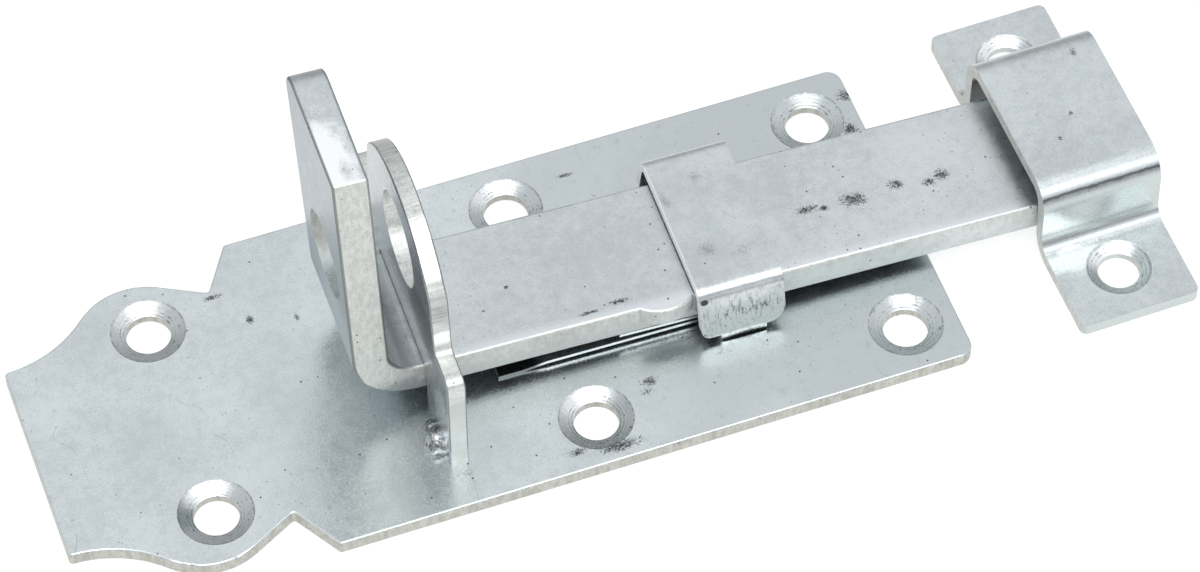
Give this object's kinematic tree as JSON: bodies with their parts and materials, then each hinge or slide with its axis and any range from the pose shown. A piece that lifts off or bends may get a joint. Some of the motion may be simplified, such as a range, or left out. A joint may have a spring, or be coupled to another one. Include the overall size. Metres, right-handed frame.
{
  "type": "padbolt",
  "caption": "Surface padbolt: a flat bolt with an upturned eyed handle slides through a strap and a padlock staple on a screw-on plate, into a separate hat-shaped keeper.",
  "frame": {"origin": "middle of the four screw holes at the bolt's end of the base plate, on the plate's back face, which is the door's face", "axes": "+X the way the bolt is thrown, +Y across the plate, +Z straight out of the door"},
  "size_m": [0.1514, 0.052, 0.052],
  "materials": {
    "zinc_plated_steel": "zinc-plated steel, pale bluish grey, half gloss",
    "spring_steel": "thin zinc-plated spring strip",
    "weld_metal": "rough weld bead under plating"
  },
  "bodies": {
    "fixed_parts": {"base_plate": "zinc_plated_steel", "padlock_staple": "zinc_plated_steel", "tack_weld_near": "weld_metal", "tack_weld_far": "weld_metal", "guide_strap": "zinc_plated_steel", "leaf_spring": "spring_steel", "keeper": "zinc_plated_steel"},
    "bolt": {"sliding_bolt": "zinc_plated_steel"}
  },
  "joints": [
    {"name": "bolt_slide", "type": "slide", "parent": "fixed_parts", "child": "bolt", "axis": [0.9994, -0.0215, -0.0262], "range_m": [-0.0262, 0]}
  ]
}
